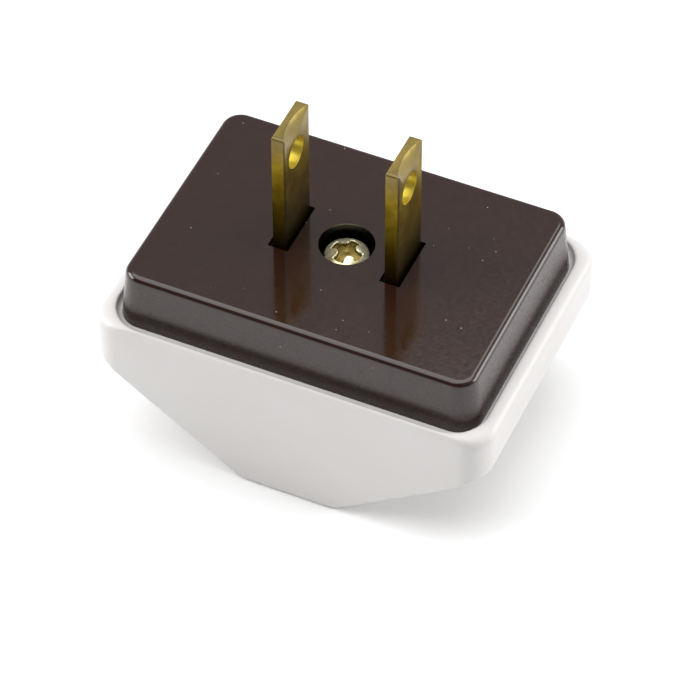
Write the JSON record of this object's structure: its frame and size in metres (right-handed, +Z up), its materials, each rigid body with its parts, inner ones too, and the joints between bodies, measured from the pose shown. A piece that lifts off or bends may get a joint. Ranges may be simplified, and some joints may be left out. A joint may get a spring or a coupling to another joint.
{
  "type": "double socket adapter",
  "caption": "Plug adapter with a dark base that carries flat plug blades and a pale cover with sloping outlet faces.",
  "frame": {"origin": "centre of the narrow front face that the adapter stands on, which is the bottom centre of its box", "axes": "+X along the cover's long side, +Y across it, +Z up along the plug blades"},
  "size_m": [0.045, 0.032, 0.0387],
  "materials": {
    "cover_urea": "smooth moulded, slightly worn",
    "base_phenolic": "smooth moulded, slightly worn",
    "blade_brass": "tarnished, fine rolling marks",
    "strip_brass": "dull",
    "clip_brass": "dull",
    "rivet_brass": "dull",
    "insert_brass": "machined",
    "screw_brass": "bright on the head's lands"
  },
  "bodies": {
    "root": {"cover": "cover_urea", "base": "base_phenolic", "live_blade": "blade_brass", "neutral_blade": "blade_brass", "live_busbar": "strip_brass", "neutral_busbar": "strip_brass", "threaded_insert": "insert_brass", "screw": "screw_brass", "live_clip_left": "clip_brass", "live_clip_right": "clip_brass", "neutral_clip_left": "clip_brass", "neutral_clip_right": "clip_brass", "live_clip_rivet_left": "rivet_brass", "live_clip_rivet_right": "rivet_brass", "neutral_clip_rivet_left": "rivet_brass", "neutral_clip_rivet_right": "rivet_brass", "live_foot_rivet_1": "rivet_brass", "live_foot_rivet_2": "rivet_brass", "neutral_foot_rivet_1": "rivet_brass", "neutral_foot_rivet_2": "rivet_brass"}
  },
  "joints": []
}
